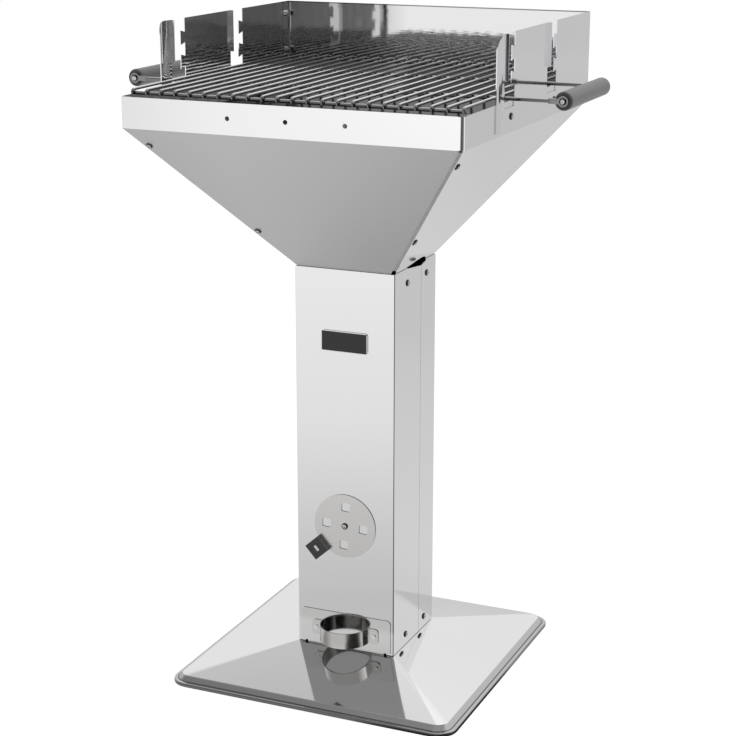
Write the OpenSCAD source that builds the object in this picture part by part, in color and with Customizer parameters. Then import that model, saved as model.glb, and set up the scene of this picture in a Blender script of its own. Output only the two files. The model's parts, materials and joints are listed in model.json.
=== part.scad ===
// Funnel charcoal grill in polished stainless sheet, standing on a pressed base pan.
// Millimetres, +Z up, front towards -Y, origin on the ground under the column's axis.

/* [Sheet] */
// Thickness of the stainless sheet
sheet_t = 1.2; // [0.8:0.1:1.5]
// Gap left between neighbouring sheets
fit_gap = 0.2; // [0.1:0.05:0.3]
// Gap under a loose piece at rest
seat_gap = 0.3; // [0.2:0.05:0.5]

/* [Base pan] */
// Width of the square pan over its outer flange
base_w = 432; // [400:2:500]
// Height of the turned-down outer edge
base_edge = 5; // [4:0.5:7]
// Width of the flat outer flange
base_lip = 6; // [5:0.5:9]
// Width of the steep step inside the flange
step_run = 6; // [5:0.5:9]
// Height of the step's upper edge
base_step = 12; // [10:0.5:15]
// Height at which the pan's slopes reach the column
foot_z = 36; // [28:1:44]
// Corner radius of the outer edge
lip_r = 28; // [20:1:36]

/* [Column] */
// Width and depth of the square column
col_w = 150; // [130:1:170]
// Height of the column's top edge
col_top = 595; // [520:1:660]
// Share of the column's depth that the front shell covers
seam_share = 0.63; // [0.55:0.01:0.7]
// Outer radius of the column's bent edges
col_r = 2; // [1.5:0.1:3]

/* [Funnel] */
// Outside width of the funnel's rim
rim_w = 475; // [440:1:520]
// Outside depth of the funnel's rim
rim_d = 497; // [460:1:540]
// Height of the rim's top edge
rim_top = 840; // [780:1:900]
// Height of the upright band round the rim
rim_band = 41; // [34:1:48]
// Width of the flange that each panel tucks behind its neighbour
hip_flange = 20; // [14:1:24]
// Radius of the bend at the rim's corners
corner_r = 5; // [3:0.5:7]

/* [Wind guard] */
// Height of the guard above the rim's top edge
guard_rise = 86; // [70:1:110]
// Height over which the guard laps the rim's band
guard_lap = 36; // [30:1:38]
// Distance from the rim's front to the side walls' front edge
guard_set = 109; // [80:1:130]
// Distance from the rim's front to the front slot
slot_set = 138; // [128:1:160]
// Distance between the two slots of a side wall
slot_pitch = 170; // [150:1:190]
// Width of a slot from its front flange to its rear edge
slot_w = 38; // [32:1:44]
// Length of a hook tooth
tooth_l = 12; // [8:0.5:14]
// Distance between two hook teeth
tooth_pitch = 32.4; // [28:0.1:36]
// Width of the stiffening flange beside a slot
slot_flange = 6; // [4:0.5:7]

/* [Cooking grate] */
// Number of main rods
rod_count = 23; // [15:2:31]
// Diameter of a main rod
rod_d = 4; // [3:0.5:5]
// Diameter of a cross rod and of a handle arm
arm_d = 5; // [4:0.5:6]
// Distance from the centre to the outermost rod
rod_reach = 229.5; // [200:0.5:232]
// Distance from the centre to a grip's axis
grip_reach = 309; // [290:1:330]
// Diameter of a grip
grip_d = 24; // [20:1:28]

/* [Charcoal grate] */
// Height of the charcoal grate's bars
coal_z = 690; // [650:1:720]
// Distance between two charcoal bars
coal_pitch = 20; // [14:1:24]

/* [Air vent] */
// Diameter of the rotary disc
disc_d = 94; // [80:1:104]
// Height of the disc's pivot
vent_z = 224; // [180:1:280]
// Side of a square air hole
air_hole = 13; // [10:0.5:15]
// Distance from the pivot to the middle of an air hole
air_r = 28.5; // [24:0.5:32]
// Turn of the closed disc from the square position
disc_turn = -3; // [-8:1:8]
// Side of the square plastic grip
knob_w = 25; // [20:1:30]

/* [Ash drawer] */
// Width of the drawer's front plate
front_w = 141; // [130:1:146]
// Height of the drawer's front plate
front_h = 50; // [40:1:60]
// Width of the ash tray
tray_w = 120; // [100:1:122]
// Outer radius of the strap handle
strap_r = 36.5; // [30:0.5:40]
// Height of the strap handle
strap_h = 23; // [18:1:28]

/* [Badge] */
// Width of the blank badge
badge_w = 70; // [50:1:90]
// Height of the blank badge
badge_h = 30; // [20:1:40]
// Height of the badge's middle
badge_z = 494; // [440:1:540]

/* [Hidden] */
$fn = 48;
// Facets of a large circle
fine_fn = 96;
cut = 1;

// Fasteners
screw_d = 5;
hole_d = screw_d + fit_gap;
head_d = 9.4;
head_h = 2.6;
head_edge = 1.1;
nut_af = 8;
nut_h = 3.4;
hex = 6;
slot_cut = 1.1;

// Base pan: bend radii, steps of a bend and of a round corner, the top, and the angles of step and slope
edge_r = 1.8;
foot_r = 2;
shoulder_r = 2.5;
bend_steps = 3;
corner_steps = 6;
pan_top = foot_z + fit_gap;
pan_top_half = col_w / 2 - fit_gap;
step_a = atan2(base_step - base_edge, step_run);
slope_b = atan2(pan_top - base_step, base_w / 2 - base_lip - step_run - pan_top_half);

// Column
col_half = col_w / 2;
col_in = col_half - sheet_t;
col_lift = 1;
col_foot = foot_z + col_lift;
seam_y = -col_half + seam_share * col_w;
seam_gap = 0.6;
seam_lip = 8;
tab_x = col_in - fit_gap;
tab_h = 34;
tab_reach = 62;
side_screw_front = 30;
side_screw_back = 40;
side_screw_ys = [-side_screw_front, side_screw_back];
top_screw_drop = 20;
top_screw_z = col_top - top_screw_drop;
foot_screw_rise = 17;
foot_screw_z = foot_z + foot_screw_rise;
// Dip of the shells' top edges at the seam, and its reach to each side
dip_h = 5.5;
dip_reach = 52;

// Drawer opening in the front shell
bay_gap = 2;
bay_w = tray_w + 2 * bay_gap;
bay_top = foot_z + front_h;
relief_r = 2.2;

// Funnel
fold_z = rim_top - rim_band;
neck_half = tab_x;
neck_z = col_top;
raw_set = 2.5;
flange_start = 8;
// Relief cut in the corner between a panel's three bends
relief = 3;
// Depth at which a bend's surface lies under the flats it joins, and the angle by which it enters them
skin = 0.02;
bend_lap = 3;
// Length by which a flange runs past the ends of its bend
end_lap = 0.6;
layer = sheet_t + fit_gap;
// Half of what the guard's rear flange and screws add behind the rim, which sits as far forward
rim_shift = (fit_gap + layer + sheet_t + head_h) / 2;
rim_front = rim_d / 2 + rim_shift;
rim_rear = rim_d / 2 - rim_shift;
hip_screw_in = 10;
// Distances of the hip screws from the neck and from the fold, along the slope
hip_screw_low = 72;
hip_screw_high = 32;
rim_hole_pitch = 81.5;
rim_hole_d = 6.2;
rim_hole_drop = 20;
rim_hole_z = rim_top - rim_hole_drop;
guard_screw_pitch = 176;
guard_screw_mid = 2;
guard_screw_ys = [guard_screw_mid - guard_screw_pitch / 2, guard_screw_mid + guard_screw_pitch / 2];
arch_mid = seam_y - dip_reach / 4;
arch_w = 64;
arch_h = 9;
arch_drop = 6;
arch_r = (pow(arch_w / 2, 2) + pow(arch_h, 2)) / (2 * arch_h);

// Distance from the column's axis to the rim on side k, counted from the front anticlockwise seen from above
function reach(k) = [rim_front, rim_w / 2, rim_rear, rim_w / 2][k % 4];
function run(k) = reach(k) - neck_half;
function slope_l(k) = norm([run(k), fold_z - neck_z]);
function slope_a(k) = atan2(run(k), fold_z - neck_z);
// Distances from a panel's middle to its left and right hips at height s along its slope
function left_at(k, s) = neck_half + run(k + 3) * s / slope_l(k);
function right_at(k, s) = neck_half + run(k + 1) * s / slope_l(k);
// Turn of the left and right hips in a panel's plane, and the angle through which the right flange is bent
function left_turn(k) = atan2(run(k + 3), slope_l(k));
function right_turn(k) = atan2(run(k + 1), slope_l(k));
function hip_bend(k) = acos(sin(slope_a(k)) * sin(slope_a(k + 1)));
function hip_l(k) = norm([run(k), run(k + 1), fold_z - neck_z]);
// Distances from the right hip to the start and the end of the bend behind it
function bend_start(k) = layer / sin(hip_bend(k)) + corner_r * tan(hip_bend(k) / 2);
function bend_end(k) = corner_r * tan(hip_bend(k) / 2) - layer / tan(hip_bend(k));
// Distance from the column's axis to the inner face of side k's panel at height z
function inner_at(k, z) = neck_half + run(k) * (z - neck_z) / (fold_z - neck_z) - sheet_t / cos(slope_a(k));
// Places of the screw holes along the rim's band
function band_holes(k) = k % 2 == 0 ? [-rim_hole_pitch, 0, rim_hole_pitch] : (2 - k) * guard_screw_ys;

// Wind guard
guard_top = rim_top + guard_rise;
guard_z = rim_top - guard_lap;
wall_x = rim_w / 2 + fit_gap;
wall_y = rim_rear + fit_gap;
wall_front = -rim_front + guard_set;
slot_ys = [-rim_front + slot_set, -rim_front + slot_set + slot_pitch];
slot_drop = 8;
slot_foot = rim_top - slot_drop;
flange_rise = 28;
flange_foot = rim_top + flange_rise;
bead_l = 24;
bead_rise = 3;
bead_r = (pow(bead_l / 2, 2) + pow(bead_rise, 2)) / (2 * bead_rise);
wall_corner_r = 18;
tooth_rise = 60;
tooth_z = rim_top + tooth_rise;
tooth_tip_h = 19.8;
tooth_root_h = 13.8;
tooth_zs = [tooth_z, tooth_z - tooth_pitch];
rear_flange = 21;
rear_tuck = 19;
hem_h = 7;
corner_screw_low = 14;
corner_screw_high = 18;
corner_screw_zs = [rim_top + corner_screw_low, guard_top - corner_screw_high];
corner_screw_in = 10;
guard_bend = 4;

// Cooking grate
arm_z = rim_top + arm_d / 2 + seat_gap;
rod_z = arm_z + (arm_d + rod_d) / 2;
arm_clear = 1.5;
arm_front = slot_ys[0] + slot_w - tooth_l - arm_d / 2 - arm_clear;
arm_ys = [arm_front, arm_front + slot_pitch];
rod_front_in = 19;
rod_rear_in = 8;
rod_front = -rim_front + rod_front_in;
rod_rear = rim_rear - rod_rear_in;
rod_drop = 6;
eye_d = 14;
eye_t = 3;
tongue_h = 7;
tongue_l = 18;
grip_front = arm_ys[0] + eye_t / 2 + fit_gap / 2;
grip_rear = arm_ys[1] - eye_t / 2 - fit_gap / 2;
grip_bore_l = 26;
grip_screw_l = 24;
grip_edge = 1.5;

// Charcoal grate
coal_d = 5;
coal_bars = 13;
coal_low = coal_z - coal_d;
coal_rod_in = hip_flange + 2 * coal_d;
coal_rod_ys = [coal_rod_in - inner_at(0, coal_low), 0, inner_at(2, coal_low) - coal_rod_in];
seat_run = seat_gap / cos(slope_a(0));

// Air vent
face_y = -col_half;
plate_y = face_y - fit_gap - sheet_t;
disc_r = disc_d / 2;
air_turns = [0, 90, 180, 270];
air_corner_r = 2;
open_turn = 45;
tab_turn = 225;
knob_r = 55;
knob_t = 8;
knob_gap = 0.5;
stub = 0.5;
knob_tab_w = 9;
knob_tab_t = 4;
pivot_clear = 0.08;
washer_d = 14;
washer_t = 1;

// Ash drawer
front_lift = 3.5;
front_z = foot_z + front_lift;
front_r = 6;
tray_t = 1;
tray_l = 136;
tray_h = 43;
tray_z = foot_z + 2 * seat_gap;
strap_t = 1.5;
ear_l = 17;
ear_r = 5;
strap_rise = 23;
strap_z = front_z + strap_rise;
rivet_out = 9;
rivet_x = strap_r + rivet_out;
rivet_d = 4;
rivet_head_d = 6.5;
rivet_head_h = 1.2;

// Badge
badge_t = 1.6;
badge_r = 4;
badge_edge = 1.2;
badge_sink = 0.4;

steel = "gainsboro";
bright = "silver";
plastic = "dimgray";

// Flat rectangle with round corners, about the origin
module round_rect(w, d, r) {
    square([w - 2 * r, d], center = true);
    square([w, d - 2 * r], center = true);
    for (x = [-1, 1], y = [-1, 1])
        translate([x * (w / 2 - r), y * (d / 2 - r)]) circle(r);
}

// Pan-head screw along +Z, its head above z = 0 and its shank of length l below
module screw(l) {
    dome_r = (pow(head_d / 2, 2) + pow(head_h - head_edge, 2)) / (2 * (head_h - head_edge));
    difference() {
        union() {
            cylinder(d = head_d, h = head_edge);
            intersection() {
                translate([0, 0, head_h - dome_r]) sphere(dome_r);
                translate([0, 0, head_edge / 2]) cylinder(d = head_d, h = head_h);
            }
        }
        for (a = [0, 90])
            rotate([0, 0, a]) translate([0, 0, head_h])
                cube([head_d / 2, slot_cut, head_h], center = true);
    }
    translate([0, 0, -l]) cylinder(d = screw_d, h = l + head_edge / 2);
}

// Hexagon nut along +Z, resting on z = 0 and reaching downwards
module nut() {
    translate([0, 0, -nut_h]) difference() {
        cylinder(d = nut_af / cos(180 / hex), h = nut_h, $fn = hex);
        translate([0, 0, -cut]) cylinder(d = hole_d, h = nut_h + 2 * cut);
    }
}

module screw_hole(l) {
    translate([0, 0, -l]) cylinder(d = hole_d, h = 2 * l);
}

// Places a part that points along +Z on the right side wall of the column
module on_right(y, z, x = col_half) {
    translate([x, y, z]) rotate([0, 90, 0]) children();
}

// Repeats a part for the two side walls of the column
module both_sides() {
    children();
    mirror([1, 0, 0]) children();
}

// Arc of the pan's section about c, its direction turning from a to b; bulge is 1 outwards and -1 inwards
function pan_arc(c, r, a, b, bulge) =
    [for (i = [0:bend_steps]) let(u = a + (b - a) * i / bend_steps)
        [c[0] - bulge * r * sin(u), c[1] + bulge * r * cos(u), u]];

// Outer line of the pan's section from the ground up: distance in from the edge, height and direction
function pan_line() =
    let(foot_in = base_lip - foot_r * tan(step_a / 2),
        back = shoulder_r * tan((step_a - slope_b) / 2),
        shoulder = [base_lip + step_run - back * cos(step_a), base_step - back * sin(step_a)])
    concat([[0, 0, 90]],
        pan_arc([edge_r, base_edge - edge_r], edge_r, 90, 0, 1),
        pan_arc([foot_in, base_edge + foot_r], foot_r, 0, step_a, -1),
        pan_arc(shoulder + shoulder_r * [sin(step_a), -cos(step_a)], shoulder_r, step_a, slope_b, 1),
        [[base_w / 2 - pan_top_half, pan_top, slope_b]]);

// Ring of points round the pan at a distance in from its edge
function pan_ring(in, z) =
    let(half = base_w / 2 - in, r = max(lip_r - in, col_r), sides = [[1, 1], [-1, 1], [-1, -1], [1, -1]])
    [for (c = [0:3], k = [0:corner_steps])
        let(a = 90 * (c + k / corner_steps), p = (half - r) * sides[c] + r * [cos(a), sin(a)])
        [p[0], p[1], z]];

// Pressed shell of the pan: the outer line up to the closed top, then the line under it back down
module pan_shell() {
    outer = pan_line();
    inner = [for (p = outer) [p[0] + sheet_t * sin(p[2]), p[1] - sheet_t * cos(p[2])]];
    n = len(outer);
    m = 4 * (corner_steps + 1);
    levels = concat(outer, [for (i = [n - 1:-1:0]) inner[i]]);
    bands = [for (j = [0:2 * n - 1]) if (j != n - 1) [j * m, (j + 1) % (2 * n) * m]];
    polyhedron(
        points = [for (p = levels) each pan_ring(p[0], p[1])],
        faces = concat(
            [for (b = bands, i = [0:m - 1]) let(k = (i + 1) % m) [b[0] + i, b[1] + i, b[1] + k]],
            [for (b = bands, i = [0:m - 1]) let(k = (i + 1) % m) [b[0] + i, b[1] + k, b[0] + k]],
            [[for (i = [m - 1:-1:0]) (n - 1) * m + i], [for (i = [0:m - 1]) n * m + i]]));
}

module base_pan() color(steel) {
    pan_shell();
    both_sides() difference() {
        translate([tab_x - sheet_t, -tab_reach, foot_z - sheet_t / 2])
            cube([sheet_t, 2 * tab_reach, tab_h]);
        for (y = side_screw_ys) on_right(y, foot_screw_z, tab_x) screw_hole(2 * sheet_t);
    }
}

// Square tube of the column between two heights
module column_tube() {
    translate([0, 0, col_foot]) linear_extrude(col_top - col_foot) difference() {
        round_rect(col_w, col_w, col_r);
        round_rect(2 * col_in, 2 * col_in, col_r - sheet_t);
    }
}

// Space that the shells leave open: the dip at the seam and the screw holes on both sides
module column_side_cuts() {
    both_sides() {
        for (y = side_screw_ys, z = [foot_screw_z, top_screw_z]) on_right(y, z) screw_hole(2 * sheet_t);
        translate([col_half + cut, 0, 0]) rotate([0, -90, 0]) linear_extrude(col_half) polygon([
            [col_top + cut, seam_y - dip_reach], [col_top, seam_y - dip_reach],
            [col_top - dip_h, seam_y], [col_top, seam_y + dip_reach / 2],
            [col_top + cut, seam_y + dip_reach / 2]]);
    }
}

// Square air hole with round corners through the column's front or the disc
module air_holes(turn) {
    for (a = air_turns)
        rotate([0, a + turn, 0]) translate([air_r, 0, 0]) rotate([90, 0, 0])
            linear_extrude(4 * sheet_t, center = true) round_rect(air_hole, air_hole, air_corner_r);
}

module column_front_shell() color(steel) difference() {
    intersection() {
        column_tube();
        translate([-col_w, -col_w, 0]) cube([2 * col_w, col_w + seam_y - seam_gap / 2, 2 * col_top]);
    }
    column_side_cuts();
    translate([-bay_w / 2, face_y - cut, 0]) cube([bay_w, 2 * cut + sheet_t, bay_top]);
    for (x = [-1, 1])
        translate([x * bay_w / 2, face_y, front_z - relief_r / 2]) rotate([90, 0, 0])
            cylinder(r = relief_r, h = 4 * sheet_t, center = true);
    translate([0, face_y, vent_z]) {
        air_holes(open_turn);
        rotate([90, 0, 0]) screw_hole(2 * sheet_t);
    }
}

module column_rear_shell() color(steel) {
    difference() {
        intersection() {
            column_tube();
            translate([-col_w, seam_y + seam_gap / 2, 0]) cube([2 * col_w, col_w, 2 * col_top]);
        }
        column_side_cuts();
    }
    both_sides() translate([0, 0, foot_z + tab_h + cut]) {
        lip_h = col_top - foot_z - 2 * (tab_h + cut) - sheet_t;
        translate([tab_x - sheet_t, seam_y - seam_lip, 0]) cube([sheet_t, 2 * seam_lip, lip_h]);
        translate([tab_x - sheet_t, seam_y + seam_gap / 2, 0])
            cube([col_half - tab_x + sheet_t - fit_gap, sheet_t, lip_h]);
    }
}

// Frame of the slope on side k: x along the fold, y up the slope, z outwards from the outer face
module on_slope(k) {
    rotate([0, 0, 90 * k]) translate([0, -neck_half, neck_z]) rotate([90 + slope_a(k), 0, 0]) children();
}

// Places a part at every corner screw of the neighbour that covers side k's flange
module at_hip_screws(k) {
    for (s = [hip_screw_low, slope_l(k) - hip_screw_high])
        on_slope(k) translate([hip_screw_in - left_at(k, s), s, 0]) children();
}

// Frame of side k's right hip: y up the hip, x across it, z outwards from the panel's outer face
module on_hip(k) {
    on_slope(k) translate([neck_half, 0, 0]) rotate([0, 0, -right_turn(k)]) children();
}

// Outline of a bend through an angle, from the direction +Y towards +X
module bend_outline(turn) {
    wedge = 2 * corner_r;
    angles = [90 + bend_lap, 90 - turn / 2, 90 - turn - bend_lap];
    intersection() {
        difference() {
            circle(corner_r - skin);
            circle(corner_r - sheet_t + skin);
        }
        polygon([[0, 0], for (a = angles) wedge * [cos(a), sin(a)]]);
    }
}

// Bend and flange that side k tucks behind the next panel along its right hip
module hip_bend_flange(k) {
    turn = hip_bend(k);
    top_l = hip_l(k) - bend_start(k) * tan(right_turn(k)) - relief / cos(right_turn(k));
    on_hip(k) {
        translate([-bend_start(k), top_l, -corner_r]) rotate([90, 0, 0])
            linear_extrude(top_l - flange_start - end_lap) bend_outline(turn);
        rotate([0, turn, 0]) translate([0, 0, -layer - sheet_t]) linear_extrude(sheet_t) polygon([
            [bend_end(k), flange_start], [hip_flange, flange_start],
            [hip_flange, hip_l(k) - hip_flange * tan(left_turn(k + 1)) - relief], [bend_end(k), top_l + end_lap]]);
    }
}

// One funnel panel: rim band, slope, tab in the column, and the flange behind the next panel
module funnel_panel(k) {
    l = slope_l(k);
    left = reach(k + 3);
    right = reach(k + 1);
    side = reach(k);
    edge = bend_start(k) / cos(right_turn(k));
    difference() {
        union() {
            rotate([0, 0, 90 * k]) {
                translate([raw_set - left, -side, fold_z])
                    cube([left + right - raw_set - layer - corner_r, sheet_t, rim_band]);
                translate([right - layer - corner_r, -side + corner_r, fold_z]) mirror([0, 1, 0])
                    translate([0, 0, end_lap]) linear_extrude(rim_band - 2 * end_lap) bend_outline(90);
                translate([right - layer - sheet_t, -side + corner_r, fold_z])
                    cube([sheet_t, hip_flange, rim_band]);
                translate([-tab_reach, -neck_half, neck_z - tab_h])
                    cube([2 * tab_reach, sheet_t, tab_h + sheet_t / 2]);
            }
            on_slope(k) translate([0, 0, -sheet_t]) linear_extrude(sheet_t - skin) polygon([
                [raw_set - neck_half, 0], [neck_half - edge, 0], [right_at(k, l - relief) - edge, l - relief],
                [right - layer - corner_r - relief, l], [raw_set - left, l]]);
            hip_bend_flange(k);
        }
        at_hip_screws(k) screw_hole(2 * sheet_t);
        at_hip_screws(k + 1) screw_hole(4 * sheet_t);
        rotate([0, 0, 90 * k]) for (x = band_holes(k))
            translate([x, -side, rim_hole_z]) rotate([90, 0, 0])
                cylinder(d = k % 2 == 0 ? rim_hole_d : hole_d, h = 4 * sheet_t, center = true);
    }
}

// Arched relief over the column's top edge and the screw holes of a side panel's tab
module side_panel_cuts() {
    for (y = side_screw_ys) on_right(y, top_screw_z, neck_half) screw_hole(2 * sheet_t);
    intersection() {
        translate([col_half / 2, arch_mid, col_top + arch_h - arch_r]) rotate([0, 90, 0])
            cylinder(r = arch_r, h = col_half, $fn = fine_fn);
        translate([0, arch_mid - arch_w, col_top - arch_drop])
            cube([2 * col_half, 2 * arch_w, arch_drop + 2 * arch_h]);
    }
}

module funnel_front_panel() color(steel) funnel_panel(0);

module funnel_right_panel() color(steel) difference() {
    funnel_panel(1);
    side_panel_cuts();
}

module funnel_rear_panel() color(steel) funnel_panel(2);

module funnel_left_panel() color(steel) difference() {
    funnel_panel(3);
    mirror([1, 0, 0]) side_panel_cuts();
}

// Outline of one hook tooth in the wall's plane, x backwards from the slot's rear edge and y up
module tooth() {
    polygon([[cut, -tooth_root_h / 2], [0, -tooth_root_h / 2], [-tooth_l, -tooth_tip_h / 2],
        [-tooth_l, tooth_tip_h / 2], [0, tooth_root_h / 2], [cut, tooth_root_h / 2]]);
}

// Upright bead that stiffens the front edge, bulging towards +X from a sheet about the plane x = 0
module wall_bead() {
    translate([sheet_t / 2 + bead_rise - bead_r, wall_front + bead_l / 2, guard_z]) intersection() {
        difference() {
            cylinder(r = bead_r, h = guard_top - guard_z, $fn = fine_fn);
            translate([0, 0, -cut]) cylinder(r = bead_r - sheet_t, h = guard_top, $fn = fine_fn);
        }
        translate([0, -bead_l / 2, 0]) cube([2 * bead_r, bead_l, guard_top]);
    }
}

// Side wall in the plane x = 0, thickness towards +X: bead, strips between the slots, teeth and flanges
module side_wall(rear, inside_out) {
    upper = guard_top - slot_foot;
    starts = [wall_front + bead_l, slot_ys[0] + slot_w, slot_ys[1] + slot_w];
    strips = [[starts[0], slot_ys[0]], [starts[1], slot_ys[1]], [starts[2], rear]];
    difference() {
        union() {
            translate([0, wall_front + bead_l, guard_z])
                cube([sheet_t, rear - wall_front - bead_l, slot_foot - guard_z]);
            for (s = strips) translate([0, s[0], slot_foot]) cube([sheet_t, s[1] - s[0], upper]);
            translate([sheet_t / 2, 0, 0]) mirror([inside_out, 0, 0]) wall_bead();
            for (y = slot_ys) {
                translate([0, y + slot_w, 0]) rotate([90, 0, 90]) linear_extrude(sheet_t)
                    for (z = tooth_zs) translate([0, z]) tooth();
                translate([0, y, flange_foot]) cube([slot_flange, sheet_t, guard_top - flange_foot]);
            }
        }
        translate([-bead_r, wall_front - cut, guard_top - wall_corner_r]) difference() {
            cube([2 * bead_r, wall_corner_r + cut, wall_corner_r + cut]);
            translate([-cut, wall_corner_r + cut, 0]) rotate([0, 90, 0])
                cylinder(r = wall_corner_r, h = 4 * bead_r);
        }
        for (y = guard_screw_ys) on_right(y, rim_hole_z, 0) screw_hole(2 * sheet_t);
    }
}

// Square with its corner at the origin rounded, reaching l towards -X and -Y
module corner_block(l, r) {
    translate([-l, -l]) square([l, l - r]);
    translate([-l, -l]) square([l - r, l]);
    translate([-r, -r]) circle(r);
}

// Upright bend of the guard's sheet with its outer corner on the Z axis and its legs towards -X and -Y
module guard_corner(h) linear_extrude(h) difference() {
    corner_block(2 * guard_bend, guard_bend);
    translate([-sheet_t, -sheet_t]) corner_block(2 * guard_bend, guard_bend - sheet_t);
}

// Screw positions at the guard's two rear corners
module at_left_corner() {
    for (z = corner_screw_zs)
        translate([-wall_x - sheet_t, wall_y - corner_screw_in, z]) rotate([0, -90, 0]) children();
}

module at_right_corner() {
    for (z = corner_screw_zs)
        translate([wall_x - corner_screw_in, wall_y + layer + sheet_t, z]) rotate([-90, 0, 0]) children();
}

module guard_right_wall() color(steel) difference() {
    union() {
        translate([wall_x, 0, 0]) side_wall(wall_y + layer + sheet_t - guard_bend, 0);
        translate([wall_x + sheet_t, wall_y + layer + sheet_t, guard_z]) guard_corner(guard_top - guard_z);
        translate([wall_x + sheet_t - rear_flange, wall_y + layer, guard_z])
            cube([rear_flange - guard_bend, sheet_t, guard_top - guard_z]);
    }
    at_right_corner() screw_hole(2 * sheet_t);
}

module guard_left_wall() color(steel) difference() {
    translate([-wall_x - sheet_t, 0, 0]) side_wall(wall_y + sheet_t, 1);
    at_left_corner() screw_hole(2 * sheet_t);
}

module guard_rear_wall() color(steel) difference() {
    left_x = -wall_x + fit_gap;
    plate_l = 2 * (wall_x - fit_gap - guard_bend) + sheet_t;
    union() {
        translate([left_x + guard_bend, wall_y, guard_z]) cube([plate_l, sheet_t, guard_top - guard_z]);
        translate([left_x, wall_y + sheet_t, rim_top + fit_gap]) mirror([1, 0, 0])
            guard_corner(guard_top - rim_top - fit_gap);
        translate([left_x, wall_y - rear_tuck, rim_top + fit_gap])
            cube([sheet_t, rear_tuck + sheet_t - guard_bend, guard_top - rim_top - fit_gap]);
        translate([left_x + guard_bend, wall_y - layer, guard_top - hem_h]) cube([plate_l, sheet_t, hem_h]);
        translate([left_x + guard_bend, wall_y - layer, guard_top - sheet_t])
            cube([plate_l, layer + sheet_t, sheet_t]);
    }
    for (x = [-1, 1])
        translate([x * rim_hole_pitch, wall_y, rim_hole_z]) rotate([90, 0, 0]) screw_hole(2 * sheet_t);
    at_left_corner() screw_hole(4 * sheet_t);
    at_right_corner() screw_hole(4 * sheet_t);
}

module badge() color(plastic) translate([0, face_y, badge_z]) rotate([90, 0, 0]) difference() {
    linear_extrude(badge_t) round_rect(badge_w, badge_h, badge_r);
    translate([0, 0, badge_t - badge_sink]) linear_extrude(badge_t)
        round_rect(badge_w - 2 * badge_edge, badge_h - 2 * badge_edge, badge_r - badge_edge);
}

module vent_pivot_screw() color(bright)
    translate([0, plate_y - fit_gap / 2, vent_z]) rotate([90, 0, 0]) screw(4 * sheet_t + nut_h);

module vent_pivot_washer() color(bright) translate([0, face_y + sheet_t, vent_z]) rotate([-90, 0, 0])
    difference() {
        cylinder(d = washer_d, h = washer_t);
        translate([0, 0, -cut]) cylinder(d = hole_d, h = washer_t + 2 * cut);
    }

module vent_pivot_nut() color(bright)
    translate([0, face_y + sheet_t + washer_t, vent_z]) rotate([90, 0, 0]) nut();

module column_top_screws() color(bright)
    both_sides() for (y = side_screw_ys) on_right(y, top_screw_z) screw(2 * layer + nut_h + stub);

module column_top_nuts() color(bright)
    both_sides() for (y = side_screw_ys) on_right(y, top_screw_z, neck_half - sheet_t) nut();

module column_foot_screws() color(bright)
    both_sides() for (y = side_screw_ys) on_right(y, foot_screw_z) screw(2 * layer + nut_h + stub);

module column_foot_nuts() color(bright)
    both_sides() for (y = side_screw_ys) on_right(y, foot_screw_z, tab_x - sheet_t) nut();

module funnel_corner_screws() color(bright)
    for (k = [0:3]) at_hip_screws(k) screw(layer + sheet_t + nut_h + stub);

module funnel_corner_nuts() color(bright)
    for (k = [0:3]) at_hip_screws(k) translate([0, 0, -layer - sheet_t]) nut();

module guard_side_screws() color(bright)
    both_sides() for (y = guard_screw_ys)
        on_right(y, rim_hole_z, wall_x + sheet_t) screw(layer + sheet_t + nut_h + stub);

module guard_side_nuts() color(bright)
    both_sides() for (y = guard_screw_ys) on_right(y, rim_hole_z, rim_w / 2 - sheet_t) nut();

// Screw positions of the rear wall on the rim's rear band
module at_rear_band() {
    for (x = [-1, 1])
        translate([x * rim_hole_pitch, wall_y + sheet_t, rim_hole_z]) rotate([-90, 0, 0]) children();
}

module guard_rear_screws() color(bright) at_rear_band() screw(layer + sheet_t + nut_h + stub);

module guard_rear_nuts() color(bright) at_rear_band() translate([0, 0, -layer - sheet_t]) nut();

module guard_corner_screws() color(bright) {
    at_left_corner() screw(layer + sheet_t + nut_h + stub);
    at_right_corner() screw(layer + sheet_t + nut_h + stub);
}

module guard_corner_nuts() color(bright) {
    at_left_corner() translate([0, 0, -layer - sheet_t]) nut();
    at_right_corner() translate([0, 0, -layer - sheet_t]) nut();
}

// Main rod with both ends turned down over the cross rods
module main_rod() {
    translate([0, rod_front, rod_z]) rotate([-90, 0, 0]) cylinder(d = rod_d, h = rod_rear - rod_front);
    for (y = [rod_front, rod_rear]) translate([0, y, rod_z]) {
        sphere(d = rod_d);
        translate([0, 0, -rod_drop]) cylinder(d = rod_d, h = rod_drop);
    }
}

module cooking_grate_rods() color(bright)
    for (i = [0:rod_count - 1])
        translate([-rod_reach + i * 2 * rod_reach / (rod_count - 1), 0, 0]) main_rod();

// Round rod along X at depth y, reaching to x on both sides
module cross_rod(x, y, z, d) {
    translate([-x, y, z]) rotate([0, 90, 0]) cylinder(d = d, h = 2 * x);
}

module cooking_grate_front_rod() color(bright)
    cross_rod(rod_reach + rod_d / 2, rod_front + (rod_d + arm_d) / 2, arm_z, arm_d);

module cooking_grate_rear_rod() color(bright)
    cross_rod(rod_reach + rod_d / 2, rod_rear - (rod_d + arm_d) / 2, arm_z, arm_d);

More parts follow.
